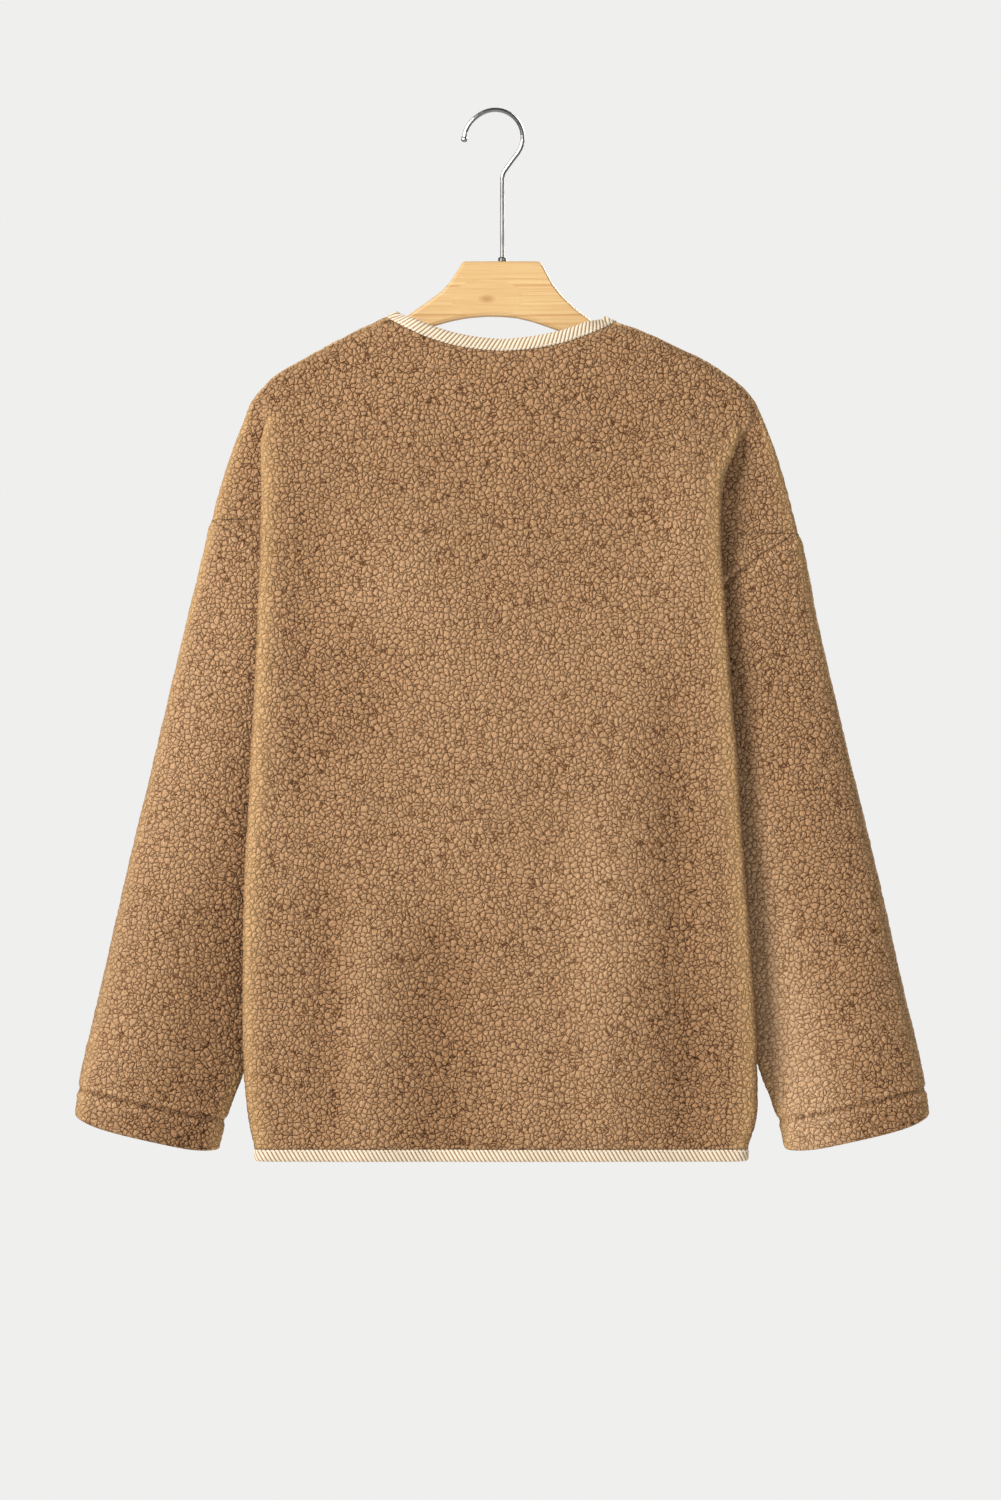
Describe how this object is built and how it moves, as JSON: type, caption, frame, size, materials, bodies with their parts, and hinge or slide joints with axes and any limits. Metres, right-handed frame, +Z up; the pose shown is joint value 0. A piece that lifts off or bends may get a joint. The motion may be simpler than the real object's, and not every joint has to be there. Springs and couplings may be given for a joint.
{
  "type": "fleece jacket on a wooden hanger",
  "caption": "Boxy collarless button-up jacket in sherpa fleece with dropped shoulders, twill-bound edges and turned sleeve hems, hanging on a flat wooden hanger with a wire hook.",
  "frame": {"origin": "inside of the hook's top bend, where a rod carries it", "axes": "+Z up, +X to the wearer's right, which is the right of the picture, +Y from the back of the jacket to its front"},
  "size_m": [0.686, 0.0804, 0.8446],
  "materials": {
    "sherpa_fleece": "curled pile",
    "twill_binding": "ribbed twill tape",
    "button_horn": "satin",
    "pale_wood": "clear satin lacquer",
    "hook_steel": "brushed"
  },
  "bodies": {
    "root": {"back_panel": "sherpa_fleece", "front_left": "sherpa_fleece", "front_right": "sherpa_fleece", "sleeve_left": "sherpa_fleece", "sleeve_right": "sherpa_fleece", "neck_binding": "twill_binding", "hem_binding": "twill_binding", "edge_binding_left": "twill_binding", "edge_binding_right": "twill_binding", "button_1": "button_horn", "button_2": "button_horn", "button_3": "button_horn", "button_4": "button_horn", "button_5": "button_horn", "hanger_body": "pale_wood", "hanger_hook": "hook_steel", "hook_collar": "hook_steel"}
  },
  "joints": []
}
